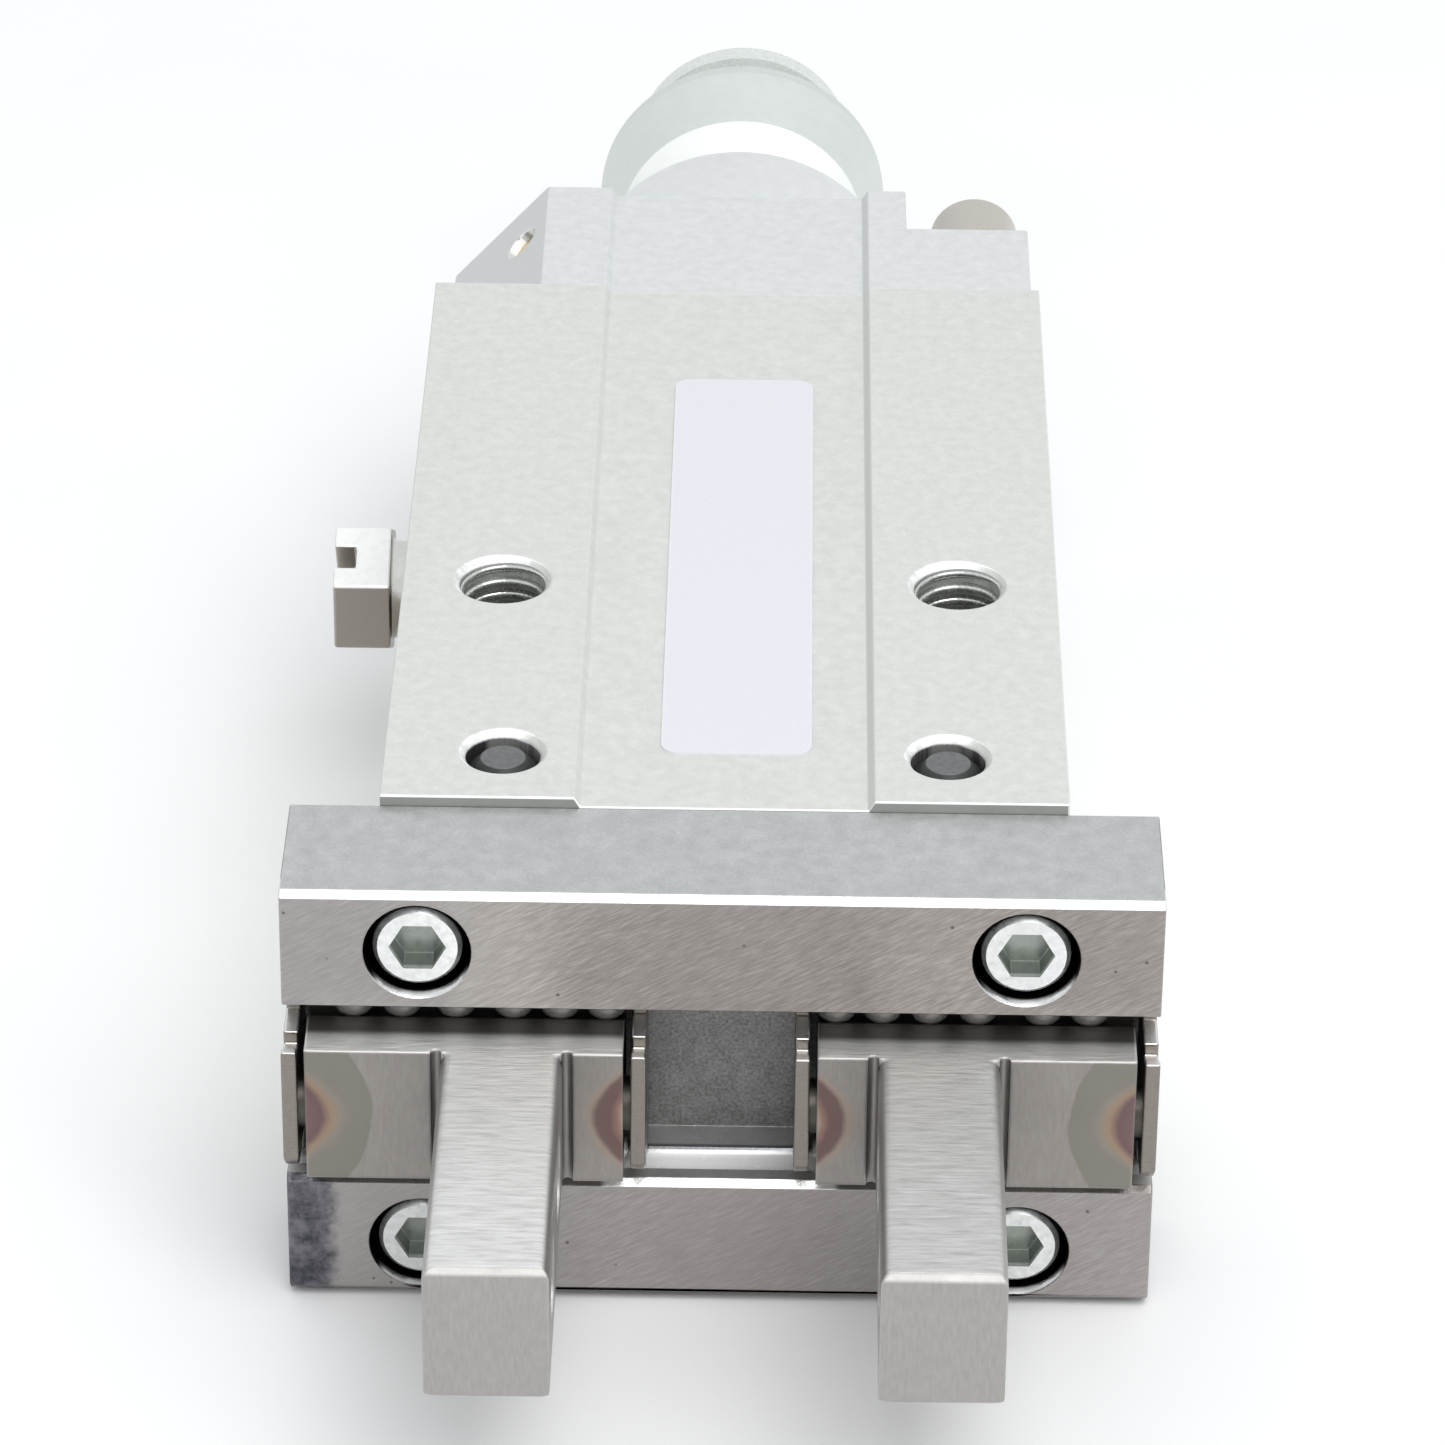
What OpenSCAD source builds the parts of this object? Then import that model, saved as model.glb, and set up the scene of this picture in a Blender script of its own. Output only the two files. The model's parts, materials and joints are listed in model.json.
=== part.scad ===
// Parallel air gripper with a linear ball guide, 10 mm bore, single acting,
// held open by its spring, with narrow fingers and an axial push-in tube port.
// X is the gripping direction, -Y points along the fingers, +Z is the label side.
// The origin is midway between the two mounting holes, on the back face.

/* [Body] */
// Width of the body along X
body_w = 23; // [22.6:0.1:24]
// Thickness of the body along Z
body_t = 16.4; // [16.2:0.1:17]
// Length of the body along Y
body_l = 37.8; // [37.4:0.1:40]
// Width of the recessed centre strip
strip_w = 9.8; // [9:0.1:10.4]
// Depth of the recessed centre strip
strip_d = 0.35; // [0.2:0.05:0.45]
// Cylinder bore diameter
bore_d = 10; // [9.8:0.1:10.2]

/* [Mounting] */
// Distance between the two mounting holes
mount_pitch = 16; // [15.8:0.1:16.4]
// Distance from the front face of the body to the mounting holes
mount_s = 14.8; // [14.6:0.1:15.4]
// Nominal thread diameter of the mounting holes
mount_d = 3; // [3:0.1:3.2]
// Thread depth from each face
mount_depth = 6; // [5:0.5:6]

/* [Guide] */
// Length of the guide rail along X
guide_w = 29; // [28.8:0.1:30]
// Depth of the guide rail along Y
guide_l = 5.55; // [5.4:0.05:5.6]
// Height of the channel that the finger blocks run in
channel_h = 6.8; // [6.7:0.1:6.9]
// Ball diameter
ball_d = 1.5; // [1.4:0.05:1.5]

/* [Fingers] */
// Travel of each finger
finger_travel = 2; // [1.5:0.1:2]
// Finger thickness along X
finger_w = 4; // [3.6:0.1:4.2]
// Finger length in front of its block
finger_l = 12.3; // [11.3:0.5:14.3]
// Distance from the centre plane to the inner face of an open finger
finger_gap = 5.2; // [5:0.1:5.4]
// Width of a finger block
block_w = 10.5; // [10.4:0.05:10.6]
// Diameter of the holes through a finger
finger_hole_d = 2.9; // [2.5:0.1:3]
// Distance between the two holes of a finger
finger_hole_pitch = 5.7; // [5.4:0.1:6]

/* [Levers] */
// Distance from the centre plane to each lever shaft
shaft_x = 7.5; // [7.5:0.05:7.6]
// Lever arm towards the finger block
finger_arm = 7.5; // [7.4:0.05:7.6]
// Lever arm towards the piston rod
rod_arm = 5.5; // [5.4:0.05:5.5]

/* [Tube port] */
// Radius of the clamping boss on the end block
boss_r = 6.5; // [6:0.1:6.8]
// Length of the clamping boss
boss_l = 6.8; // [6:0.1:7]
// Outside diameter of the tube
tube_d = 4; // [4:0.1:4.2]

/* [Hidden] */
$fn = 64;
eps = 0.01;
cut = 1;

// Stations s are counted backwards from the front face of the body.
axis_z = body_t / 2;
front_y = -mount_s;
half_w = body_w / 2;

// Lever cavity, wall and cylinder
cavity_half_w = 10.3;
cavity_half_h = 3.9;
cavity_l = 9.2;
wall_l = 4.3;
cylinder_s = cavity_l + wall_l;
rod_r = 2;
rod_clear = 0.03;
seal_pocket_r = 3.5;
seal_pocket_l = 2.4;
retainer_t = 0.8;

// Lever shafts
shaft_s = 3;
shaft_r = 1.25;
shaft_clear = 0.03;
shaft_recess = 0.25;
shaft_chamfer = 0.5;
shaft_mouth_r = 1.5;

// Lever swing that carries each finger over its travel
half_swing = asin(finger_travel / 2 / finger_arm);
lever_t = 2.4;
lever_hub_r = 2.3;
finger_end_r = 1.15;
rod_end_r = 1;
finger_arm_w = 1.8;
rod_arm_w = 1.4;

// Guide rail
guide_base_z = 0.1;
guide_top_z = body_t - 0.4;
web_t = 2.2;
guide_chamfer = 0.25;
window_half_w = 2.5;
window_half_h = 1.55;
screw_x = 10;
// Heights of the two rows of screws, from the axis
screw_rows = [-6.05, 5.55];
screw_head_r = 1.475;
screw_bore_r = 1.78;
screw_head_l = 2;
screw_head_recess = 0.3;
screw_seat_s = screw_head_l + screw_head_recess - guide_l;
screw_shank_r = 0.97;
screw_hole_r = 1;
screw_pass_r = 1.05;
screw_l = 6;
screw_thread_l = 5;
screw_socket = 1.65;

// Finger blocks
block_h = 5;
block_front_s = -6.9;
block_clear = 0.3;
block_rear_s = -web_t - block_clear;
// Distance from the inner face of a finger to the middle of its block
block_offset = 3.25;
block_x = finger_gap + block_offset;
relief_r = 0.16;
relief_shift = 0.02;
finger_edge_r = 0.4;
finger_root_l = 0.6;
finger_tip_chamfer = 0.22;
tip_hole_inset = 3;
slot_half_w = 1.25;
slot_half_h = 1.35;
slot_end_clear = 0.25;
slot_front_s = shaft_s - finger_arm - finger_end_r - slot_end_clear;

// Ball races, midway between the faces of the blocks and the walls of the channel
race_s = -4.1;
race_clear = 0.05;
race_r = ball_d / 2 + race_clear;
race_dz = (channel_h + block_h) / 4;

// End plates that keep the balls in, and their rivets
plate_t = 0.5;
plate_gap = 0.25;
plate_proud = 0.15;
plate_low = 2.2;
plate_top = 2.5;
plate_corner = 0.45;
plate_notch_w = 0.9;
plate_notch_d = 0.45;
plate_tab = 0.4;
plate_tall = 3.2;
plate_tall_s = -4.3;
plate_front_s = block_front_s - plate_proud;
inner_plate_x = block_x - block_w / 2 - plate_gap - plate_t;
outer_plate_x = block_x + block_w / 2 + plate_gap;
pin_s = block_front_s + 0.95;
pin_r = 0.6;
pin_clear = 0.02;
pin_collar_r = 0.9;
pin_hole_l = 1.4;
pin_l = 1.3;

// Where the loose balls stand along each row, from the centre plane
ball_rows_left = [3.82, 5.35, 6.9, 8.8, 10.6, 12.2];
ball_rows_right = [3.82, 5.35, 6.9, 8.5, 10.65, 12.2];

// Piston at rest, fingers open
flange_t = 0.9;
flange_r = 3.4;
spool_core_r = 0.8;
spool_half_l = rod_end_r + 0.04;
spool_s = shaft_s - rod_arm * sin(half_swing);
piston_front_s = cylinder_s + 1.2;
piston_l = 6.2;
piston_r = bore_d / 2 - 0.05;
piston_rear_s = piston_front_s + piston_l;
seal_groove_s = piston_front_s + 1.5;
seal_groove_r = 3.9;
seal_groove_l = 1.6;
magnet_groove_s = piston_front_s + 3.7;
magnet_groove_r = 3.4;
magnet_groove_l = 1.8;
spring_stub_r = 2.4;
spring_stub_l = 2.1;

// Return spring
spring_r = 3.3;
wire_r = 0.35;
spring_turns = 7;
spring_steps = 22;
wire_sides = 8;

// End block behind the body
end_l = 8.5;
end_half_w = 11.2;
end_inset = 0.05;
slope_x = 7.5;
slope_w = end_half_w - slope_x;
slope_h = 4;
ledge_x = 6.5;
ledge_l = 5.2;
spigot_l = 3;
spigot_r = bore_d / 2 - 0.02;
spigot_groove_s = body_l - spigot_l + 0.7;
spigot_groove_l = 1.4;
spigot_groove_d = 1.25;
port_r = 1.5;
end_rear_s = body_l + end_l;
boss_rear_s = end_rear_s + boss_l;
end_screw_x = 9.2;
end_screw_dz = 6.3;
end_head_r = 1.7;
end_head_l = 3.1;
end_screw_l = 12;
end_thread_l = 8;

// Air passage from the end block to the rod side of the cylinder
passage_x = -5;
passage_z = axis_z + 5;
passage_r = 0.7;
passage_front_s = cylinder_s + 0.5;
passage_drill_r = 0.5;
passage_drill_l = 3;
cross_s = body_l + 5.6;
cross_x = -8.45;
cross_r = 0.75;
slope_angle = atan2(slope_h, slope_w);
cross_z = body_t - end_inset - (-cross_x - slope_x) * tan(slope_angle);

// Exhaust plug on the left side
exhaust_s = 28.5;
exhaust_r = 1.5;
exhaust_end_x = -4;
plug_af = 4.5;
plug_head_t = 2.1;
plug_collar_t = 0.75;
gasket_t = 0.5;
plug_shank_l = 5.3;
plug_slot_w = 0.85;
plug_slot_d = 0.8;
vent_r = 0.9;

// Push-in fitting
fit_socket_r = 4;
fit_socket_l = 5.6;
neck_r = 4;
cone_s = boss_rear_s + 4.8;
cone_l = 1;
collar_front_r = 5.05;
collar_r = 5.9;
collar_rear_s = boss_rear_s + 9.7;
collar_chamfer = 0.4;
collar_rim_l = 0.6;
cartridge_r = 3.6;
cartridge_s = collar_rear_s - 6.8;
tube_r = tube_d / 2 + 0.05;
tube_seat_l = 6;
tube_stop_r = port_r - 0.1;
tube_seal_l = 1.6;
collet_l = 1.1;
button_front_s = cartridge_s + 3.9;
button_stem_r = 3.2;
button_flange_r = 4.5;
button_flange_t = 1.3;
button_rear_s = collar_rear_s + 4.7;

// Label
label_w = 5.1;
label_l = 27.1;
label_s = 3.5;
label_x = 0.35;
label_t = 0.08;
label_corner = 0.6;

alloy = "#d8dbd5";
alloy_end = "#d9dde0";
steel = "#a8a29b";
bright = "#c9c9c9";
rubber = "#2b2b2b";

// ---- Helpers ----

// Moves its children to station s on the gripper's axis, turned so that +Z points to the rear
module at_station(s, x = 0, z = axis_z) {
    translate([x, front_y + s, z]) rotate([-90, 0, 0]) children();
}

// Round bar along the axis, from station s0 to station s1
module rod_y(r, s0, s1, x = 0, z = axis_z) {
    at_station(s0, x, z) cylinder(r = r, h = s1 - s0);
}

// Ring along the axis
module ring_y(r_out, r_in, s0, s1) {
    difference() {
        rod_y(r_out, s0, s1);
        rod_y(r_in, s0 - cut, s1 + cut);
    }
}

// What a groove of length l, cut down to radius r_in in a bar of radius r, takes away
module groove_y(r, r_in, s, l) {
    ring_y(r + cut, r_in, s, s + l);
}

// Box between two stations
module block_y(x0, x1, s0, s1, z0, z1) {
    translate([x0, front_y + s0, z0]) cube([x1 - x0, s1 - s0, z1 - z0]);
}

// Round bar along X through a point
module rod_x(r, x0, x1, s, z) {
    translate([x0, front_y + s, z]) rotate([0, 90, 0]) cylinder(r = r, h = x1 - x0);
}

// Hexagonal socket or head, measured across its flats
module hexagon(flats, h) {
    cylinder(d = flats / cos(30), h = h, $fn = 6);
}

// One side of a mirrored pair: -1 is the left side, 1 the right side
module side(which) {
    mirror([which < 0 ? 1 : 0, 0, 0]) children();
}

// The outline of the body across its length, with the recessed strip on both faces
module body_section(half, inset) {
    strip_top = strip_w / 2 + 0.1;
    strip_low = strip_w / 2 - 0.1;
    z0 = inset;
    z1 = body_t - inset;
    polygon([
        [-half, z0], [-strip_top, z0], [-strip_low, z0 + strip_d],
        [strip_low, z0 + strip_d], [strip_top, z0], [half, z0],
        [half, z1], [strip_top, z1], [strip_low, z1 - strip_d],
        [-strip_low, z1 - strip_d], [-strip_top, z1], [-half, z1]
    ]);
}

// Extrudes an outline drawn in X and Z from station s0 to station s1
module along_y(s0, s1) {
    translate([0, front_y + s1, 0]) rotate([90, 0, 0]) linear_extrude(height = s1 - s0) children();
}

// ---- Housing ----

module lever_cavity() {
    block_y(-cavity_half_w, cavity_half_w, -cut, cavity_l,
            axis_z - cavity_half_h, axis_z + cavity_half_h);
}

module mounting_hole(x) {
    mouth = 0.25;
    drill_d = 2.6;
    translate([x, 0, -cut]) cylinder(d = drill_d, h = body_t + 2 * cut);
    translate([x, 0, -cut]) cylinder(d = mount_d, h = mount_depth + cut);
    translate([x, 0, body_t - mount_depth]) cylinder(d = mount_d, h = mount_depth + cut);
    translate([x, 0, body_t - mouth]) cylinder(r1 = mount_d / 2, r2 = mount_d / 2 + mouth, h = mouth + eps);
    translate([x, 0, -eps]) cylinder(r1 = mount_d / 2 + mouth, r2 = mount_d / 2, h = mouth + eps);
}

module shaft_hole(x) {
    mouth = shaft_mouth_r - shaft_r;
    translate([x, front_y + shaft_s, -cut]) cylinder(r = shaft_r + eps, h = body_t + 2 * cut);
    translate([x, front_y + shaft_s, body_t - mouth])
        cylinder(r1 = shaft_r, r2 = shaft_mouth_r, h = mouth + eps);
    translate([x, front_y + shaft_s, -eps]) cylinder(r1 = shaft_mouth_r, r2 = shaft_r, h = mouth + eps);
}

module air_passage() {
    rod_y(passage_r, passage_front_s, body_l + cut, passage_x, passage_z);
    translate([passage_x, front_y + passage_front_s + passage_drill_r, passage_z])
        rotate([0, 135, 0]) cylinder(r = passage_drill_r, h = passage_drill_l);
}

// Groove along the right side that takes a position switch
module switch_groove(s0, s1) {
    round_r = 2;
    mouth_half = 1.4;
    round_x = half_w - 3;
    rod_y(round_r, s0, s1, round_x, axis_z);
    block_y(round_x, half_w + cut, s0, s1, axis_z - mouth_half, axis_z + mouth_half);
}

module body() {
    groove_start_s = 18;
    color(alloy) difference() {
        along_y(0, body_l) body_section(half_w, 0);
        lever_cavity();
        rod_y(seal_pocket_r, cavity_l - cut, cavity_l + seal_pocket_l);
        rod_y(rod_r + rod_clear, cavity_l, cylinder_s + cut);
        rod_y(bore_d / 2, cylinder_s, body_l + cut);
        for (x = [-1, 1]) {
            mounting_hole(x * mount_pitch / 2);
            shaft_hole(x * shaft_x);
            for (z = screw_rows)
                rod_y(screw_hole_r, -cut, screw_thread_l, x * screw_x, axis_z + z);
            rod_y(screw_hole_r, body_l - end_thread_l, body_l + cut,
                  x * end_screw_x, axis_z + x * end_screw_dz);
        }
        air_passage();
        rod_x(exhaust_r, -half_w - cut, exhaust_end_x, exhaust_s, axis_z);
        switch_groove(groove_start_s, body_l + cut);
    }
}

module guide_section() {
    c = guide_chamfer;
    channel_top = axis_z + channel_h / 2;
    channel_low = axis_z - channel_h / 2;
    polygon([
        [0, guide_base_z], [0, guide_top_z],
        [-guide_l + c, guide_top_z], [-guide_l, guide_top_z - c],
        [-guide_l, channel_top], [-web_t, channel_top],
        [-web_t, channel_low], [-guide_l + c, channel_low],
        [-guide_l, channel_low - c], [-guide_l, guide_base_z + c],
        [-guide_l + c, guide_base_z]
    ]);
}

module guide_rail() {
    color(steel) difference() {
        translate([-guide_w / 2, front_y, 0]) rotate([90, 0, 90])
            linear_extrude(height = guide_w) guide_section();
        for (z = [-1, 1])
            rod_x(race_r, -guide_w, guide_w, race_s, axis_z + z * race_dz);
        for (x = [-1, 1]) {
            block_y(x * shaft_x - window_half_w, x * shaft_x + window_half_w, -web_t - cut, cut,
                    axis_z - window_half_h, axis_z + window_half_h);
            for (z = screw_rows) {
                rod_y(screw_pass_r, -guide_l - cut, cut, x * screw_x, axis_z + z);
                rod_y(screw_bore_r, -guide_l - cut, screw_seat_s, x * screw_x, axis_z + z);
            }
        }
    }
}

// Cap screw with its head at the origin plane, shank along +Z
module cap_screw(head_r, head_l, shank_r, shank_l, socket) {
    edge = 0.15;
    difference() {
        union() {
            cylinder(r = shank_r, h = shank_l);
            translate([0, 0, -head_l + edge]) cylinder(r = head_r, h = head_l - edge);
            translate([0, 0, -head_l]) cylinder(r1 = head_r - edge, r2 = head_r, h = edge);
        }
        translate([0, 0, -head_l - eps]) hexagon(socket, head_l / 2);
    }
}

module guide_screws() {
    color(bright) for (x = [-1, 1], z = screw_rows)
        at_station(screw_seat_s, x * screw_x, axis_z + z)
            cap_screw(screw_head_r, screw_head_l, screw_shank_r, screw_l, screw_socket);
}

module lever_shafts() {
    z0 = shaft_recess;
    z1 = body_t - shaft_recess;
    c = shaft_chamfer;
    color(bright) for (x = [-1, 1])
        translate([x * shaft_x, front_y + shaft_s, z0]) {
            cylinder(r1 = shaft_r - c, r2 = shaft_r, h = c);
            translate([0, 0, c]) cylinder(r = shaft_r, h = z1 - z0 - 2 * c);
            translate([0, 0, z1 - z0 - c]) cylinder(r1 = shaft_r, r2 = shaft_r - c, h = c);
        }
}

module label() {
    z = body_t - strip_d;
    color("white") translate([label_x, front_y + label_s + label_l / 2, z])
        linear_extrude(height = label_t) {
            square([label_w - 2 * label_corner, label_l], center = true);
            square([label_w, label_l - 2 * label_corner], center = true);
            for (x = [-1, 1], y = [-1, 1])
                translate([x * (label_w / 2 - label_corner), y * (label_l / 2 - label_corner)])
                    circle(r = label_corner);
        }
}

// ---- Fingers ----

// Block of a finger in plan, with a relief groove on each side of the finger's root
module block_plan() {
    difference() {
        translate([block_x - block_w / 2, block_front_s])
            square([block_w, block_rear_s - block_front_s]);
        for (x = [finger_gap - relief_r, finger_gap + finger_w + relief_r])
            translate([x, block_front_s + relief_shift]) circle(r = relief_r + relief_shift);
    }
}

// Finger across its length, with rounded edges, its centre at the origin
module finger_section() {
    r = finger_edge_r;
    square([finger_w - 2 * r, block_h], center = true);
    square([finger_w, block_h - 2 * r], center = true);
    for (x = [-1, 1], z = [-1, 1])
        translate([x * (finger_w / 2 - r), z * (block_h / 2 - r)]) circle(r = r);
}

// Right-hand finger, open
module finger() {
    tip_s = block_front_s - finger_l;
    wedge = finger_tip_chamfer * sqrt(2);
    difference() {
        union() {
            translate([0, front_y, axis_z - block_h / 2])
                linear_extrude(height = block_h) block_plan();
            translate([finger_gap + finger_w / 2, 0, axis_z])
                along_y(tip_s, block_front_s + finger_root_l) finger_section();
        }
        for (z = [-1, 1])
            rod_x(race_r, 0, guide_w, race_s, axis_z + z * race_dz);
        block_y(shaft_x + finger_travel / 2 - slot_half_w, shaft_x + finger_travel / 2 + slot_half_w,
                slot_front_s, block_rear_s + cut, axis_z - slot_half_h, axis_z + slot_half_h);
        for (i = [0, 1])
            rod_x(finger_hole_d / 2, 0, guide_w,
                  tip_s + tip_hole_inset + i * finger_hole_pitch, axis_z);
        for (z = [-1, 1])
            at_station(tip_s, finger_gap + finger_w / 2, axis_z + z * block_h / 2)
                rotate([45, 0, 0]) cube([2 * finger_w, wedge, wedge], center = true);
        for (x = [block_x - block_w / 2, block_x + block_w / 2])
            rod_x(pin_r + pin_clear, x - pin_hole_l, x + pin_hole_l, pin_s, axis_z);
    }
}

// End plate from the side: stations across, heights from the axis upwards. Its top edge
// is notched, and its rear part is tall enough to keep the balls in.
module plate_profile() {
    front = plate_front_s;
    rear = block_rear_s;
    tall = plate_tall_s;
    notch_s = front + plate_tab;
    polygon([
        [front, plate_corner - plate_low], [front + plate_corner, -plate_low],
        [tall, -plate_low], [tall, -plate_tall], [rear, -plate_tall],
        [rear, plate_tall], [tall, plate_tall], [tall, plate_top],
        [notch_s + plate_notch_w, plate_top],
        [notch_s + plate_notch_w, plate_top - plate_notch_d],
        [notch_s, plate_top - plate_notch_d], [notch_s, plate_top], [front, plate_top]
    ]);
}

// End plates at both ends of the right-hand block
module stoppers() {
    for (x = [inner_plate_x, outer_plate_x])
        difference() {
            translate([x, front_y, axis_z]) rotate([90, 0, 90])
                linear_extrude(height = plate_t) plate_profile();
            rod_x(pin_r + pin_clear, x - cut, x + plate_t + cut, pin_s, axis_z);
        }
}

// Rivet of one end plate: outward is 1 on the block's outer end and -1 on its inner end.
// Its collar keeps the plate off the block, and it ends flush with the plate.
module stopper_pin(block_face, outward) {
    plate_in = block_face + outward * plate_gap;
    plate_out = plate_in + outward * plate_t;
    inner_end = block_face - outward * pin_l;
    rod_x(pin_r, min(inner_end, plate_out), max(inner_end, plate_out), pin_s, axis_z);
    rod_x(pin_collar_r, min(block_face, plate_in), max(block_face, plate_in), pin_s, axis_z);
}

module stopper_pins() {
    stopper_pin(block_x - block_w / 2, -1);
    stopper_pin(block_x + block_w / 2, 1);
}

module ball_rows(places) {
    for (x = places, z = [-1, 1])
        translate([x, front_y + race_s, axis_z + z * race_dz]) sphere(d = ball_d, $fn = 32);
}

module left_finger() {
    color(steel) side(-1) finger();
}

module right_finger() {
    color(steel) side(1) finger();
}

module left_stoppers() {
    color(bright) side(-1) stoppers();
}

module right_stoppers() {
    color(bright) side(1) stoppers();
}

module left_stopper_pins() {
    color(bright) side(-1) stopper_pins();
}

module right_stopper_pins() {
    color(bright) side(1) stopper_pins();
}

module left_balls() {
    color("silver") side(-1) ball_rows(ball_rows_left);
}

module right_balls() {
    color("silver") side(1) ball_rows(ball_rows_right);
}

// ---- Levers ----

// Bell crank around its shaft, at the middle of its swing, for the right-hand side
module lever_blank() {
    linear_extrude(height = lever_t) {
        circle(r = lever_hub_r);
        translate([-finger_arm_w / 2, -finger_arm]) square([finger_arm_w, finger_arm]);
        translate([0, -finger_arm]) circle(r = finger_end_r);
        translate([-rod_arm, -rod_arm_w / 2]) square([rod_arm, rod_arm_w]);
        translate([-rod_arm, 0]) circle(r = rod_end_r);
    }
}

module lever() {
    translate([shaft_x, front_y + shaft_s, axis_z - lever_t / 2])
        rotate([0, 0, half_swing])
            difference() {
                lever_blank();
                translate([0, 0, -cut]) cylinder(r = shaft_r + shaft_clear, h = lever_t + 2 * cut);
            }
}

module left_lever() {
    color(steel) side(-1) lever();
}

module right_lever() {
    color(steel) side(1) lever();
}

// ---- Piston and cylinder ----

module piston() {
    color(bright) difference() {
        union() {
            rod_y(flange_r, spool_s - spool_half_l - flange_t, spool_s - spool_half_l);
            rod_y(spool_core_r, spool_s - spool_half_l - eps, spool_s + spool_half_l + eps);
            rod_y(flange_r, spool_s + spool_half_l, spool_s + spool_half_l + flange_t);
            rod_y(rod_r, spool_s + spool_half_l, piston_front_s + cut);
            rod_y(piston_r, piston_front_s, piston_rear_s);
            rod_y(spring_stub_r, piston_rear_s - cut, piston_rear_s + spring_stub_l);
        }
        groove_y(piston_r, seal_groove_r, seal_groove_s, seal_groove_l);
        groove_y(piston_r, magnet_groove_r, magnet_groove_s, magnet_groove_l);
    }
}

// A ring that fills a groove of the piston, clear of its walls
module groove_ring(r_out, groove_r, s, l) {
    fit = 0.02;
    end_fit = 0.05;
    ring_y(r_out, groove_r + fit, s + end_fit, s + l - end_fit);
}

module piston_seal() {
    wall_fit = 0.02;
    color(rubber) groove_ring(bore_d / 2 - wall_fit, seal_groove_r, seal_groove_s, seal_groove_l);
}

module piston_magnet() {
    sink = 0.2;
    color("#4a4038") groove_ring(piston_r - sink, magnet_groove_r, magnet_groove_s, magnet_groove_l);
}

module rod_seal() {
    color(rubber)
        ring_y(seal_pocket_r - eps, rod_r + rod_clear, cavity_l + retainer_t, cavity_l + seal_pocket_l);
}

module seal_retainer() {
    clear = 0.2;
    color(bright) ring_y(seal_pocket_r - eps, rod_r + clear, cavity_l, cavity_l + retainer_t);
}

module bumper() {
    bumper_t = 1.1;
    wall_clear = 0.4;
    clear = 0.3;
    color("#c9b27a") ring_y(bore_d / 2 - wall_clear, rod_r + clear, cylinder_s, cylinder_s + bumper_t);
}

// Point i of the spring's centre line, and the ring of wire around it
function coil_point(i, n, s0, s1) =
    let (a = 360 * spring_turns * i / n)
    [spring_r * cos(a), front_y + s0 + (s1 - s0) * i / n, axis_z + spring_r * sin(a)];
function wire_ring(i, n, s0, s1) =
    let (a = 360 * spring_turns * i / n, p = coil_point(i, n, s0, s1))
    [for (k = [0 : wire_sides - 1])
        let (b = 360 * k / wire_sides)
        p + wire_r * [cos(b) * cos(a), sin(b), cos(b) * sin(a)]];

module return_spring() {
    s0 = piston_rear_s + wire_r;
    s1 = body_l - spigot_l - wire_r;
    n = spring_turns * spring_steps;
    m = wire_sides;
    points = [for (i = [0 : n]) each wire_ring(i, n, s0, s1)];
    walls = [for (i = [0 : n - 1], k = [0 : m - 1])
        [i * m + k, i * m + (k + 1) % m, (i + 1) * m + (k + 1) % m, (i + 1) * m + k]];
    near_cap = [for (k = [0 : m - 1]) m - 1 - k];
    far_cap = [for (k = [0 : m - 1]) n * m + k];
    color(bright) polyhedron(points = points, faces = concat([near_cap], walls, [far_cap]), convexity = 8);
}

// ---- End block and fitting ----

// Corner cut off the end block, drawn across its length
module slope_cut() {
    z1 = body_t - end_inset;
    polygon([
        [-slope_x, z1], [-slope_x, z1 + cut], [-end_half_w - cut, z1 + cut],
        [-end_half_w - cut, z1 - slope_h - cut * slope_h / slope_w]
    ]);
}

// Turns its children so that +Z points out of the slope's cross drilling
module at_cross(depth = 0) {
    translate([cross_x, front_y + cross_s, cross_z])
        rotate([0, -slope_angle, 0])
            translate([0, 0, -depth]) children();
}

module end_block() {
    cross_l = 12;
    port_wall = 2.5;
    color(alloy_end) difference() {
        union() {
            along_y(body_l, end_rear_s) body_section(end_half_w, end_inset);
            rod_y(spigot_r, body_l - spigot_l, body_l + cut);
            rod_y(boss_r, end_rear_s - cut, boss_rear_s);
        }
        along_y(body_l - cut, end_rear_s + cut) slope_cut();
        for (x = [-1, 1]) {
            rod_y(screw_pass_r, body_l - cut, end_rear_s, x * end_screw_x, axis_z + x * end_screw_dz);
            block_y(x > 0 ? ledge_x : -end_half_w - cut, x > 0 ? end_half_w + cut : -ledge_x,
                    body_l + ledge_l, end_rear_s + cut,
                    x > 0 ? axis_z : -cut, x > 0 ? body_t + cut : axis_z);
        }
        switch_groove(body_l - cut, end_rear_s + cut);
        groove_y(spigot_r, spigot_r - spigot_groove_d, spigot_groove_s, spigot_groove_l);
        rod_y(port_r, body_l + port_wall, boss_rear_s);
        rod_y(fit_socket_r, boss_rear_s - fit_socket_l, boss_rear_s + cut);
        rod_y(passage_r, body_l - cut, cross_s, passage_x, passage_z);
        at_cross(cross_l) cylinder(r = cross_r, h = cross_l + cut);
    }
}

module end_seal() {
    cord_r = 0.6;
    fit = 0.02;
    color(rubber) at_station(spigot_groove_s + spigot_groove_l / 2) rotate_extrude()
        translate([spigot_r - spigot_groove_d + cord_r + fit, 0]) circle(r = cord_r, $fn = 24);
}

module end_screws() {
    socket = 1.5;
    color(bright) for (x = [-1, 1])
        at_station(body_l + ledge_l, x * end_screw_x, axis_z + x * end_screw_dz)
            rotate([180, 0, 0]) cap_screw(end_head_r, end_head_l, screw_shank_r, end_screw_l, socket);
}

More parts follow.
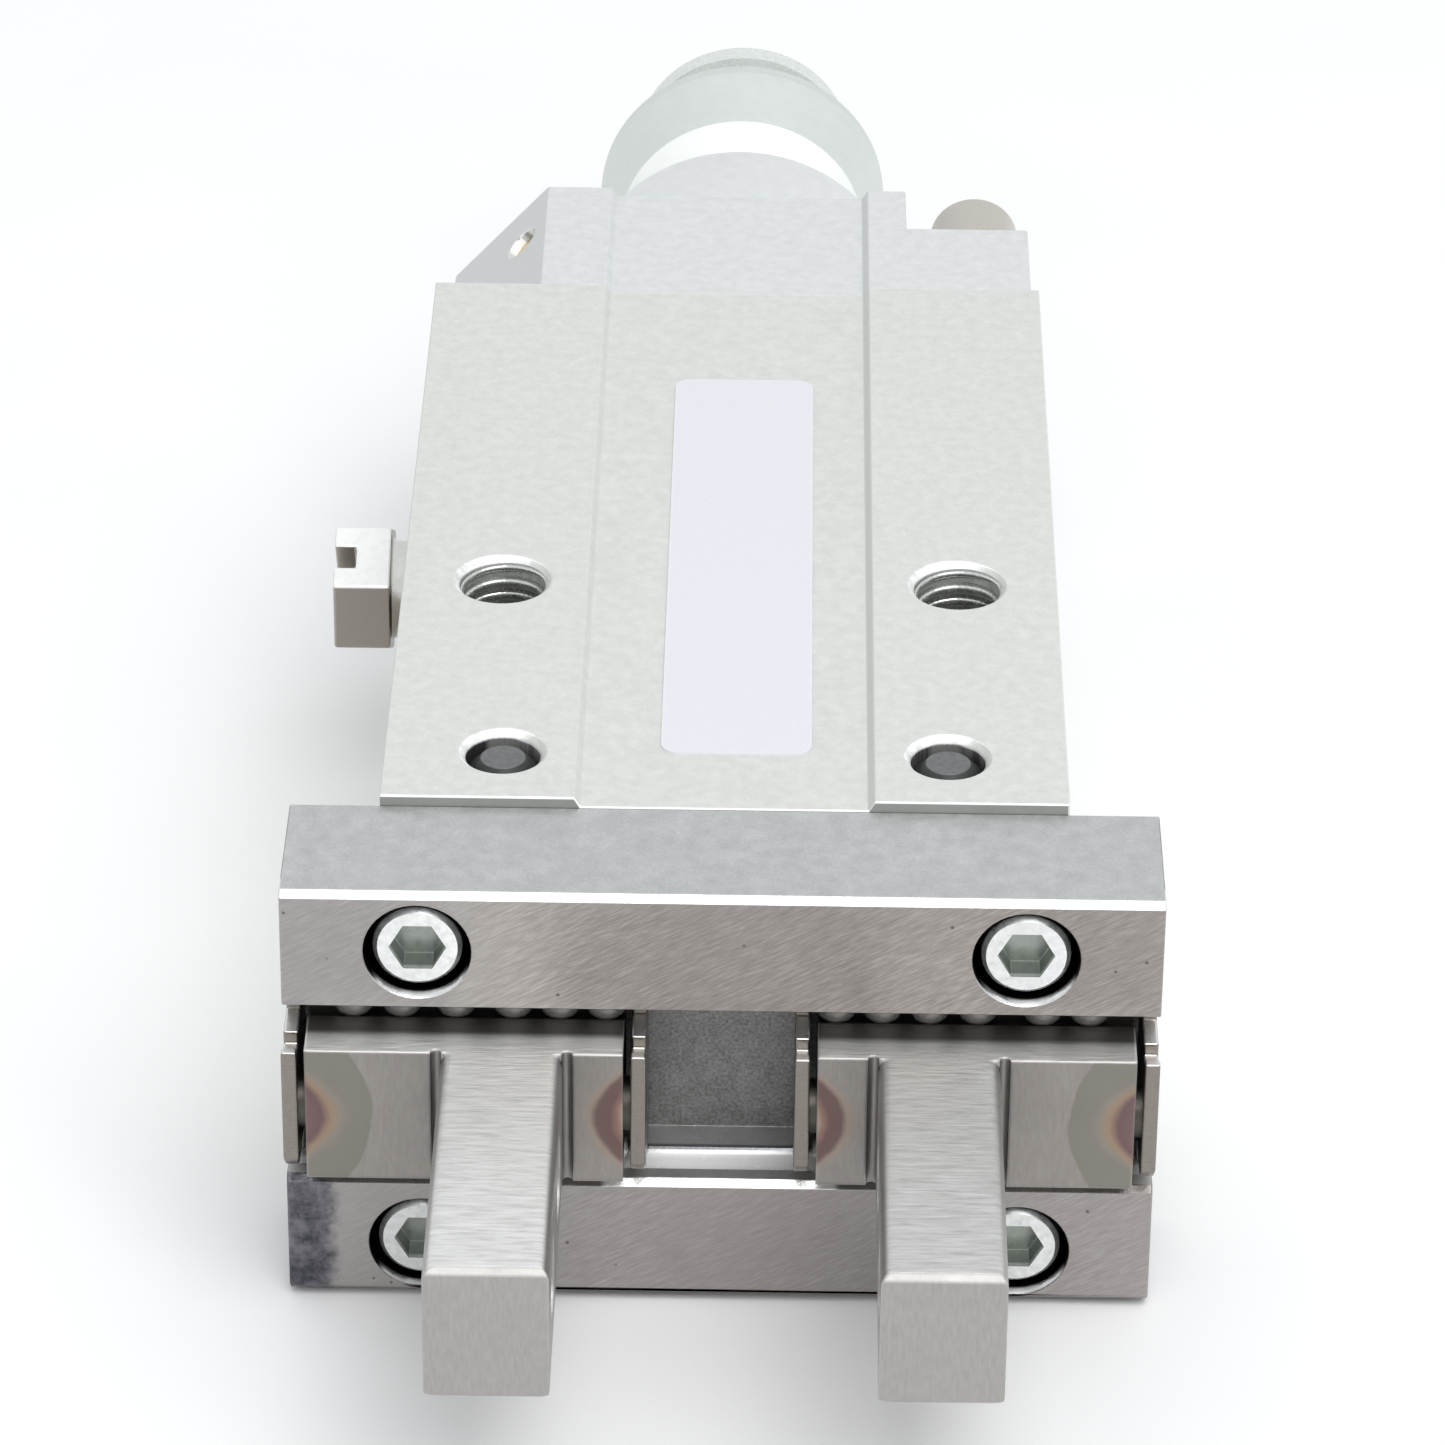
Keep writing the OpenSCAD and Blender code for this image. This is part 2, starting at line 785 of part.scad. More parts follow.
module passage_plug() {
    plug_l = 1.6;
    recess = 0.35;
    socket = 0.7;
    socket_d = 0.6;
    color("#b9a77a") at_cross(plug_l + recess) difference() {
        cylinder(r = cross_r - eps, h = plug_l);
        translate([0, 0, plug_l - socket_d]) hexagon(socket, socket_d + cut);
    }
}

// Exhaust plug: turned so that +Z points out of the left side
module at_exhaust(x) {
    translate([x, front_y + exhaust_s, axis_z]) rotate([0, -90, 0]) children();
}

module exhaust_plug() {
    head_z = gasket_t + plug_collar_t;
    neck_r = 1.85;
    thread_clear = 0.03;
    vent_floor_z = head_z + plug_head_t - plug_slot_d;
    color(bright) at_exhaust(-half_w) difference() {
        union() {
            translate([0, 0, -plug_shank_l])
                cylinder(r = exhaust_r - thread_clear, h = plug_shank_l + gasket_t);
            translate([0, 0, gasket_t]) cylinder(r = neck_r, h = plug_collar_t + eps);
            translate([0, 0, head_z]) hexagon(plug_af, plug_head_t);
        }
        translate([0, 0, -plug_shank_l - cut])
            cylinder(r = vent_r, h = plug_shank_l + cut + vent_floor_z + eps);
        rotate([0, 0, 60])
            translate([-plug_slot_w / 2, -plug_af, vent_floor_z])
                cube([plug_slot_w, 2 * plug_af, plug_slot_d + cut]);
    }
}

module exhaust_gasket() {
    gasket_r = 2.2;
    color(rubber) at_exhaust(-half_w) difference() {
        cylinder(r = gasket_r, h = gasket_t);
        translate([0, 0, -cut]) cylinder(r = exhaust_r, h = gasket_t + 2 * cut);
    }
}

module exhaust_filter() {
    filter_l = 2.5;
    fit = 0.02;
    color("ivory") at_exhaust(-half_w) translate([0, 0, -filter_l]) cylinder(r = vent_r - fit, h = filter_l);
}

module fitting_body() {
    s0 = boss_rear_s - fit_socket_l;
    shank_r = fit_socket_r - 0.02;
    profile = [
        [0, s0], [shank_r, s0], [shank_r, boss_rear_s], [neck_r, boss_rear_s], [neck_r, cone_s],
        [collar_front_r, cone_s + cone_l], [collar_r, collar_rear_s - collar_chamfer - collar_rim_l],
        [collar_r, collar_rear_s - collar_chamfer], [collar_r - collar_chamfer, collar_rear_s],
        [0, collar_rear_s]
    ];
    color(alloy_end) difference() {
        at_station(0) rotate_extrude() polygon(profile);
        rod_y(cartridge_r, cartridge_s, collar_rear_s + cut);
        rod_y(tube_r, cartridge_s - tube_seat_l, cartridge_s + cut);
        rod_y(tube_stop_r, s0 - cut, collar_rear_s);
    }
}

module tube_seal() {
    color(rubber) ring_y(cartridge_r - eps, tube_r + eps, cartridge_s, cartridge_s + tube_seal_l);
}

module collet() {
    gap = 0.1;
    wall_fit = 0.05;
    s = cartridge_s + tube_seal_l + gap;
    color(bright) ring_y(cartridge_r - wall_fit, tube_r + gap, s, s + collet_l);
}

module release_button() {
    s0 = button_front_s;
    s1 = button_rear_s;
    flange_s = s1 - button_flange_t;
    c = 0.25;
    bore_r = tube_r + 0.05;
    mouth_l = 0.4;
    mouth_r = bore_r + 0.5;
    profile = [
        [0, s0], [button_stem_r, s0], [button_stem_r, flange_s], [button_flange_r, flange_s],
        [button_flange_r, s1 - c], [button_flange_r - c, s1], [0, s1]
    ];
    color(alloy_end) difference() {
        at_station(0) rotate_extrude() polygon(profile);
        rod_y(bore_r, s0 - cut, s1 + cut);
        at_station(s1 - mouth_l) cylinder(r1 = bore_r - eps, r2 = mouth_r, h = mouth_l + eps);
    }
}

body();
guide_rail();
guide_screws();
lever_shafts();
label();
left_finger();
right_finger();
left_stoppers();
right_stoppers();
left_stopper_pins();
right_stopper_pins();
left_balls();
right_balls();
left_lever();
right_lever();
piston();
piston_seal();
piston_magnet();
return_spring();
rod_seal();
seal_retainer();
bumper();
end_block();
end_seal();
end_screws();
passage_plug();
exhaust_plug();
exhaust_gasket();
exhaust_filter();
fitting_body();
tube_seal();
collet();
release_button();
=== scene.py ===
"""Looks of a small parallel air gripper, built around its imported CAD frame."""

import json
import math

import bmesh
import bpy
from mathutils import Matrix, Vector


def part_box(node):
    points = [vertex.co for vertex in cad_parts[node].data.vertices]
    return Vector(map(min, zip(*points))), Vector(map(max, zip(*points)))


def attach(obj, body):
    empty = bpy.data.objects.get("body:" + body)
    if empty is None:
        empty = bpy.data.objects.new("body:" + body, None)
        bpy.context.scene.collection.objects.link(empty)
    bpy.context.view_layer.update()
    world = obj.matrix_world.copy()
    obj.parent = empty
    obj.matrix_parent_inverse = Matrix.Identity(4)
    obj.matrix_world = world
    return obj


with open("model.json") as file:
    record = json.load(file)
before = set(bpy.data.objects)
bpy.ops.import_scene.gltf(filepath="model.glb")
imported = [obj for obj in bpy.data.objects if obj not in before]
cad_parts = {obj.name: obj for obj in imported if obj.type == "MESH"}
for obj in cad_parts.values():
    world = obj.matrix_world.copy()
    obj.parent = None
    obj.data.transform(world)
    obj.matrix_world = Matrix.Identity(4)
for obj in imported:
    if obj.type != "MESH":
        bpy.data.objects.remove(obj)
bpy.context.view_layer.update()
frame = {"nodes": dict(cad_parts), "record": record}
nodes = frame["nodes"]

MM = 0.001
body_low, body_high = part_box("body")
scene = bpy.context.scene


# ---- Camera -----------------------------------------------------------------

LENS_MM = 168.0
SENSOR_MM = 36.0
PITCH = math.radians(30.587)  # how far the camera looks down
YAW = math.radians(-0.487)  # how far the gripper is turned under it
ROLL = math.radians(0.540)
DISTANCE = 224.55 * MM  # along the view, to the top edge of the body's front face
SIDE_SHIFT = 0.091 * MM
DROP = 2.573 * MM


def make_camera():
    """A long lens in front of the fingers, looking down on the label side."""
    right = Vector((1, 0, 0))
    forward = Vector((0, math.cos(PITCH), -math.sin(PITCH)))
    up = right.cross(forward)
    centre = -(SIDE_SHIFT * right - DROP * up + DISTANCE * forward)
    rolled_right = math.cos(ROLL) * right + math.sin(ROLL) * up
    rolled_up = math.cos(ROLL) * up - math.sin(ROLL) * right
    turn = Matrix.Rotation(-YAW, 3, "Z")
    target = Vector((0, body_low.y, body_high.z))
    axes = [turn @ v for v in (rolled_right, rolled_up, -forward)]
    camera = bpy.data.objects.new("Camera", bpy.data.cameras.new("Camera"))
    camera.data.lens = LENS_MM
    camera.data.sensor_width = SENSOR_MM
    camera.data.clip_start = 0.01
    camera.data.clip_end = 20
    rotation = Matrix(axes).transposed().to_4x4()
    camera.matrix_world = Matrix.Translation(target + turn @ centre) @ rotation
    scene.collection.objects.link(camera)
    scene.camera = camera


# ---- Light ------------------------------------------------------------------


def make_light(name, place, size, power):
    """A square softbox at place, size metres wide, aimed at the gripper with that many watts."""
    light = bpy.data.lights.new(name, "AREA")
    light.shape = "SQUARE"
    light.size = size
    light.energy = power
    lamp = bpy.data.objects.new(name, light)
    lamp.location = place
    gripper = Vector((0, 0.01, 0.01))
    aim = gripper - Vector(place)
    lamp.rotation_mode = "QUATERNION"
    lamp.rotation_quaternion = aim.to_track_quat("-Z", "Y")
    scene.collection.objects.link(lamp)


def make_world():
    """An even, slightly cool sky, and plain colours instead of a film look."""
    world = bpy.data.worlds.new("Studio")
    world.use_nodes = True
    background = world.node_tree.nodes["Background"]
    background.inputs["Color"].default_value = (0.96, 0.98, 1.0, 1)
    background.inputs["Strength"].default_value = 0.8
    scene.world = world
    scene.view_settings.view_transform = "Standard"


def make_floor():
    """A wide pale floor, a hair under the gripper's back face."""
    half = 1.5
    gap = 0.0001
    shape = bmesh.new()
    corners = [(-half, -half), (half, -half), (half, half), (-half, half)]
    shape.faces.new([shape.verts.new((x, y, -gap)) for x, y in corners])
    mesh = bpy.data.meshes.new("Floor")
    shape.to_mesh(mesh)
    floor = bpy.data.objects.new("Floor", mesh)
    scene.collection.objects.link(floor)
    g = Graph("floor")
    grain = g.noise(g.mapped(0.02), 3)
    g.set("Base Color", g.ramp(grain, [(0.3, (0.90, 0.90, 0.90)), (0.7, (0.92, 0.92, 0.92))]))
    g.set("Roughness", 0.9)
    g.set("Specular IOR Level", 0.1)
    mesh.materials.append(g.material)


# ---- Material graph ---------------------------------------------------------


class Graph:
    """One material. Its methods add nodes and return sockets, so a finish reads as steps."""

    def __init__(self, name):
        self.material = bpy.data.materials.new(name)
        self.material.use_nodes = True
        self.tree = self.material.node_tree
        self.shader = self.tree.nodes["Principled BSDF"]
        coords = self.tree.nodes.new("ShaderNodeTexCoord")
        self.place = coords.outputs["Object"]
        self.normal = coords.outputs["Normal"]

    def put(self, value, socket):
        """Links a socket, or writes a constant, into another socket."""
        if isinstance(value, bpy.types.NodeSocket):
            self.tree.links.new(value, socket)
        elif isinstance(value, tuple) and len(value) == 3 and socket.type == "RGBA":
            socket.default_value = (*value, 1)
        else:
            socket.default_value = value

    def add(self, kind, settings=None, **inputs):
        """A new node of that kind, with its settings and inputs filled in."""
        node = self.tree.nodes.new("ShaderNode" + kind)
        for key, value in (settings or {}).items():
            setattr(node, key, value)
        for key, value in inputs.items():
            self.put(value, node.inputs[key])
        return node

    def set(self, name, value):
        """Fills in one input of the surface shader."""
        self.put(value, self.shader.inputs[name])

    def mapped(self, scale, turn=(0, 0, 0)):
        """The place on the gripper in millimetres, turned and then scaled."""
        if not isinstance(scale, tuple):
            scale = (scale,) * 3
        angles = tuple(math.radians(a) for a in turn)
        turned = self.add("Mapping", Vector=self.place, Rotation=angles)
        stretch = tuple(s / MM for s in scale)
        return self.add("Mapping", Vector=turned.outputs[0], Scale=stretch).outputs[0]

    def noise(self, vector, scale, detail=2, rough=0.5):
        node = self.add("TexNoise", Vector=vector, Scale=scale, Detail=detail, Roughness=rough)
        return node.outputs["Fac"]

    def math(self, kind, a, b=0.0):
        node = self.tree.nodes.new("ShaderNodeMath")
        node.operation = kind
        self.put(a, node.inputs[0])
        self.put(b, node.inputs[1])
        return node.outputs[0]

    def ramp(self, factor, stops):
        """Colours or greys along a factor: stops are (position, colour or grey)."""
        node = self.add("ValToRGB", Fac=factor)
        elements = node.color_ramp.elements
        while len(elements) < len(stops):
            elements.new(0.5)
        for element, (position, shade) in zip(elements, stops):
            element.position = position
            element.color = (*shade, 1) if isinstance(shade, tuple) else (shade,) * 3 + (1,)
        return node.outputs["Color"]

    def mix(self, factor, a, b):
        """Colour a where the factor is 0, b where it is 1."""
        node = self.tree.nodes.new("ShaderNodeMix")
        node.data_type = "RGBA"
        colours = [s for s in node.inputs if s.type == "RGBA"]
        self.put(factor, node.inputs[0])
        self.put(a, colours[0])
        self.put(b, colours[1])
        return next(s for s in node.outputs if s.type == "RGBA")

    def axis(self, vector, letter):
        return self.add("SeparateXYZ", Vector=vector).outputs[letter]

    def beyond(self, value, edge, soft):
        """0 below edge, 1 above it, with a soft step."""
        low, high = edge - soft / 2, edge + soft / 2
        node = self.add("MapRange", {"interpolation_type": "SMOOTHSTEP"})
        self.put(value, node.inputs["Value"])
        node.inputs["From Min"].default_value = low
        node.inputs["From Max"].default_value = high
        return node.outputs["Result"]

    def within(self, value, low, high, soft=0.03):
        """1 between low and high, 0 outside them, with soft steps."""
        return self.both(self.beyond(value, low, soft), self.inverse(self.beyond(value, high, soft)))

    def size(self, value):
        """The value without its sign."""
        return self.math("ABSOLUTE", value)

    def square(self, value):
        return self.math("POWER", self.size(value), 2.0)

    def both(self, a, b):
        """Both of two masks, or a mask at part strength."""
        return self.math("MULTIPLY", a, b)

    def inverse(self, a):
        return self.math("SUBTRACT", 1.0, a)

    def bump(self, height, distance, strength=1.0, under=None):
        """A bump of that height in millimetres, on top of another one."""
        node = self.add("Bump", Height=height, Distance=distance * MM, Strength=strength)
        if under is not None:
            self.put(under, node.inputs["Normal"])
        return node.outputs[0]

    def rounded(self, radius):
        """The normal of a surface whose edges are rounded by that radius in millimetres."""
        return self.add("Bevel", {"samples": 6}, Radius=radius * MM).outputs[0]

    def edges(self, radius):
        """1 along convex and concave edges within that radius in millimetres, 0 elsewhere."""
        rounded = self.rounded(radius)
        plain = self.add("NewGeometry").outputs["Normal"]
        node = self.tree.nodes.new("ShaderNodeVectorMath")
        node.operation = "DOT_PRODUCT"
        self.put(rounded, node.inputs[0])
        self.put(plain, node.inputs[1])
        return self.ramp(node.outputs["Value"], [(0.86, 1.0), (0.995, 0.0)])


def tone(red, green, blue):
    """A linear colour from the 0 to 255 values that a photograph shows."""

    def linear(value):
        share = value / 255
        return share / 12.92 if share <= 0.04045 else ((share + 0.055) / 1.055) ** 2.4

    return tuple(linear(v) for v in (red, green, blue))


def scaled(colour, share):
    return tuple(min(1.0, c * share) for c in colour)


# ---- Finishes ---------------------------------------------------------------

FRONT_HOLES = next(m for m in frame["record"]["mounts"] if m["name"] == "front_holes")
HOLE_X = FRONT_HOLES["dims"]["spacing_x_mm"] / 2
THREAD_ROOT = 1.52  # radius at the root of a mounting thread, mm
THREAD_MOUTH = 1.74  # and of its chamfer
PIN_HOLE = 1.27  # radius of a lever shaft's hole
PIN_MOUTH = 1.49  # and of its chamfer
MID_Z = (body_low.z + body_high.z) / 2 / MM  # mid height of the gripper
GUIDE_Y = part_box("guide_rail")[0].y / MM  # the guide's front face
HIGHLIGHT_WHITE = tone(254, 254, 254)


def distance_from(g, place, centre_x, centre_y):
    """Millimetres from the upright axis at that place or its mirror image, whichever is nearer."""
    across = g.math("SUBTRACT", g.size(g.axis(place, "X")), centre_x)
    along = g.math("SUBTRACT", g.axis(place, "Y"), centre_y)
    return g.math("SQRT", g.math("ADD", g.square(across), g.square(along)))


def pin_centre():
    """Where the lever shafts stand, in millimetres from the centre plane and along Y."""
    low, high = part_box("lever_shafts")
    radius = (high.y - low.y) / 2
    return (high.x - radius) / MM, (low.y + radius) / MM


def hole_tones(g, place, base, colour, peel):
    """Painted highlights on the chamfers and painted shade on the walls of the mounting threads and
    the lever shaft holes.
    """
    thread_at = distance_from(g, place, HOLE_X, 0.0)
    pin_at = distance_from(g, place, *pin_centre())
    thread_chamfer = g.within(thread_at, THREAD_ROOT + 0.02, THREAD_MOUTH)
    pin_chamfer = g.within(pin_at, PIN_HOLE + 0.01, PIN_MOUTH)
    level = g.beyond(g.size(g.axis(g.normal, "Z")), 0.2, 0.2)
    chamfers = g.both(g.math("MAXIMUM", thread_chamfer, pin_chamfer), level)
    # Painted highlight: the chamfers of the holes are painted almost white
    shine = g.ramp(peel, [(0.35, tone(226, 228, 225)), (0.55, tone(254, 254, 253))])
    base = g.mix(chamfers, base, shine)
    # Painted shade: the thread walls are painted darker, and the lever shaft holes almost black
    base = g.mix(g.inverse(g.beyond(thread_at, THREAD_ROOT, 0.03)), base, scaled(colour, 0.42))
    return g.mix(g.inverse(g.beyond(pin_at, PIN_HOLE, 0.03)), base, scaled(colour, 0.05))


def anodised(name, colour):
    """Matte anodised aluminium: fine blasted grain and paler edges, with painted highlights and
    painted shade on some faces and round its holes.
    """
    g = Graph(name)
    place = g.mapped(1)
    peel = g.noise(place, 2.2, 3, 0.6)
    grain = g.noise(place, 16, 2, 0.7)
    clouds = g.noise(place, 0.18, 2)
    blasted = [(0.35, scaled(colour, 0.92)), (0.65, scaled(colour, 1.06))]
    base = g.ramp(g.mix(0.45, peel, grain), blasted)
    base = g.mix(g.both(clouds, 0.1), base, scaled(colour, 0.94))
    base = g.mix(g.both(g.edges(0.12), 0.5), base, scaled(colour, 1.2))
    # Painted highlight: surfaces that look forwards and up, as on the flared face of the fitting, are
    # painted almost white
    forward = g.inverse(g.beyond(g.axis(g.normal, "Y"), -0.35, 0.2))
    raised = g.beyond(g.axis(g.normal, "Z"), 0.2, 0.3)
    forward_highlight = g.both(forward, raised)
    base = g.mix(forward_highlight, base, HIGHLIGHT_WHITE)
    base = hole_tones(g, place, base, colour, peel)
    # Faces that look straight forwards are dark, as in the shade of what is fixed to them
    face_on = g.inverse(g.beyond(g.axis(g.normal, "Y"), -0.9, 0.1))
    base = g.mix(g.both(face_on, g.inverse(raised)), base, scaled(colour, 0.42))
    # Painted shade darkens the slope with the passage plug; painted light brightens the boss and the
    # fitting behind it
    leaning = g.both(g.inverse(g.beyond(g.axis(g.normal, "X"), -0.4, 0.2)), raised)
    plug_to_boss = 2.2
    boss_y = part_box("passage_plug")[1].y / MM + plug_to_boss
    behind = g.beyond(g.axis(place, "Y"), boss_y, 0.1)
    base = g.mix(g.both(leaning, g.inverse(behind)), base, scaled(colour, 0.84))
    g.set("Base Color", g.mix(g.both(behind, 0.5), base, scaled(colour, 1.2)))
    g.set("Metallic", g.ramp(forward_highlight, [(0.0, 0.55), (1.0, 0.1)]))
    g.set("Roughness", g.ramp(peel, [(0.3, 0.47), (0.7, 0.58)]))
    fine = g.bump(grain, 0.006, 0.5)
    g.set("Normal", g.bump(peel, 0.02, 0.35, under=fine))
    return g.material


def bore_walls(g, x, z):
    """1 on the walls of the four counterbores in the guide, 0 outside them."""
    low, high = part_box("guide_screws")
    head, bore = 1.475, 1.88  # radii of a screw head and of its counterbore, mm
    across = g.math("SUBTRACT", g.size(x), high.x / MM - head)
    from_low = g.size(g.math("SUBTRACT", z, low.z / MM + head))
    from_high = g.size(g.math("SUBTRACT", z, high.z / MM - head))
    along = g.math("MINIMUM", from_low, from_high)
    squares = g.math("ADD", g.square(across), g.math("POWER", along, 2.0))
    return g.inverse(g.beyond(g.math("SQRT", squares), bore, 0.06))


def guide_front(g, place, x, low, scratches):
    """The ground front: slanted scratches, warm clouds, pits and a paler left end."""
    clouds = g.noise(place, 0.16, 2)
    ground = [(0.3, tone(140, 134, 130)), (0.5, tone(160, 154, 150)), (0.72, tone(186, 181, 178))]
    front = g.ramp(scratches, ground)
    front = g.mix(g.ramp(clouds, [(0.42, 0.0), (0.62, 0.3)]), front, tone(140, 132, 129))
    left_from, fade = -7.0, 8.0
    left_end = g.inverse(g.beyond(x, left_from, fade))
    front = g.mix(g.both(left_end, 0.35), front, tone(176, 176, 176))
    front = g.mix(g.both(low, 0.3), front, tone(180, 177, 176))
    pits = g.add("TexVoronoi", {"feature": "F1"}, Vector=place, Scale=0.8).outputs["Distance"]
    return g.mix(g.ramp(pits, [(0.035, 0.75), (0.06, 0.0)]), front, tone(78, 70, 66))


def guide_steel(name):
    """Hardened steel: satin on top, ground in front, stained at one corner, dark in the channel, with
    painted light and shade on its edges, race and counterbores.
    """
    channel_y = GUIDE_Y + 0.9
    race_y, race_half, race_end_x = GUIDE_Y + 1.3, 0.95, 12.0
    white_low, white_high = GUIDE_Y + 0.85, GUIDE_Y + 2.0
    stain_x, block_inner_x = -12.4, 3.9
    bore_mouth, bore_depth, lip_end = GUIDE_Y + 0.03, 2.5, GUIDE_Y + 0.4
    g = Graph(name)
    place = g.mapped(1)
    x, y, z = (g.axis(place, letter) for letter in "XYZ")
    level = g.axis(g.normal, "Z")
    up = g.beyond(level, 0.9, 0.1)
    slope = g.both(g.beyond(level, 0.35, 0.2), g.inverse(up))
    inside = g.beyond(y, channel_y, 0.3)
    low = g.inverse(g.beyond(z, MID_Z, 0.5))
    mottle = g.noise(place, 1.6, 4, 0.6)
    speckle = g.noise(place, 9, 3, 0.6)
    satin = [(0.32, tone(192, 194, 193)), (0.68, tone(216, 217, 216))]
    top = g.ramp(g.mix(0.5, mottle, speckle), satin)
    scratches = g.noise(g.mapped((0.8, 2, 9), turn=(0, 28, 0)), 1.3, 5, 0.75)
    front = guide_front(g, place, x, low, scratches)
    dull = [(0.38, tone(112, 111, 110)), (0.66, tone(170, 169, 168))]
    channel = g.ramp(g.mix(0.6, mottle, speckle), dull)
    rusty = [(0.35, tone(72, 72, 80)), (0.65, tone(128, 126, 132))]
    rust = g.ramp(g.noise(place, 1.4, 4, 0.7), rusty)
    stain_edge = g.math("ADD", x, g.both(mottle, 1.2))
    stained = g.both(g.inverse(g.beyond(stain_edge, stain_x, 0.7)), low)
    base = g.mix(up, g.mix(stained, front, rust), top)
    # Painted highlight on the sloped edges: the lower edge is painted bright between the finger blocks
    # at rest, and painted dark beside that as the blocks' reflection
    under_block = g.both(low, g.beyond(g.size(x), block_inner_x, 0.3))
    edge_highlight_and_reflection = g.mix(under_block, tone(250, 249, 248), tone(128, 124, 121))
    base = g.mix(g.both(slope, g.inverse(stained)), base, edge_highlight_and_reflection)
    base = g.mix(g.both(inside, g.inverse(up)), base, channel)
    # The polished ball race in the lower half, with a painted highlight: white in front, grey at the
    # back
    off_race = g.beyond(g.size(g.math("SUBTRACT", y, race_y)), race_half, 0.1)
    race = g.both(g.both(g.inverse(off_race), g.both(inside, low)), g.beyond(level, 0.2, 0.2))
    race = g.both(race, g.inverse(g.beyond(g.size(x), race_end_x, 0.3)))
    race_highlight = g.within(y, white_low, white_high, 0.15)
    base = g.mix(race, base, g.mix(race_highlight, tone(138, 139, 142), tone(255, 255, 255)))
    base = g.mix(g.both(g.edges(0.08), 0.5), base, tone(222, 221, 219))
    # Painted shade: the counterbores are painted black, behind a lip painted bright as a highlight
    past_depth = g.beyond(y, bore_mouth + bore_depth, 0.1)
    deep = g.both(g.beyond(y, bore_mouth, 0.02), g.inverse(past_depth))
    bore = g.both(bore_walls(g, x, z), deep)
    lip = g.both(g.beyond(level, 0.55, 0.3), g.inverse(g.beyond(y, lip_end, 0.15)))
    base = g.mix(bore, base, g.mix(lip, tone(20, 20, 21), tone(252, 252, 252)))
    g.set("Base Color", base)
    g.set("Metallic", g.ramp(g.both(race, race_highlight), [(0.0, 0.9), (1.0, 0.05)]))
    scratched = g.ramp(scratches, [(0.3, 0.42), (0.7, 0.32)])
    rough = g.mix(up, scratched, g.ramp(mottle, [(0.3, 0.42), (0.7, 0.5)]))
    rough = g.mix(inside, rough, g.ramp(mottle, [(0.3, 0.45), (0.7, 0.6)]))
    polished = g.ramp(mottle, [(0.3, 0.2), (0.7, 0.3)])
    g.set("Roughness", g.mix(g.math("MAXIMUM", race, slope), rough, polished))
    grooves = g.bump(scratches, 0.01, 0.5)
    g.set("Normal", g.bump(speckle, 0.008, 0.5, under=grooves))
    return g.material


FAR_HEAT = [
    (0.0, tone(124, 102, 100)), (0.42, tone(116, 94, 95)), (0.66, tone(158, 136, 116)),
    (0.9, tone(146, 139, 128)),
]
NEAR_HEAT = [
    (0.0, tone(176, 160, 150)), (0.14, tone(150, 122, 112)), (0.34, tone(118, 96, 93)),
    (0.68, tone(118, 98, 95)), (0.86, tone(162, 148, 136)),
]


def heat_tints(g, block, from_far, from_near, height):
    """Straw and purple lenses at both ends of a finger block, and a dull lobe round the outer one."""
    lobe = g.math("ADD", from_far, g.both(height, 0.13))
    block = g.mix(g.inverse(g.beyond(lobe, 2.2, 0.1)), block, tone(136, 132, 125))
    ends = ((from_far, 0.42, 1.3, FAR_HEAT), (from_near, 0.32, 1.25, NEAR_HEAT))
    for distance, bend, reach, stops in ends:
        lens = g.math("ADD", distance, g.both(height, bend))
        tint = g.ramp(g.math("DIVIDE", lens, reach), stops)
        block = g.mix(g.inverse(g.beyond(lens, reach, 0.45)), block, tint)
    return block


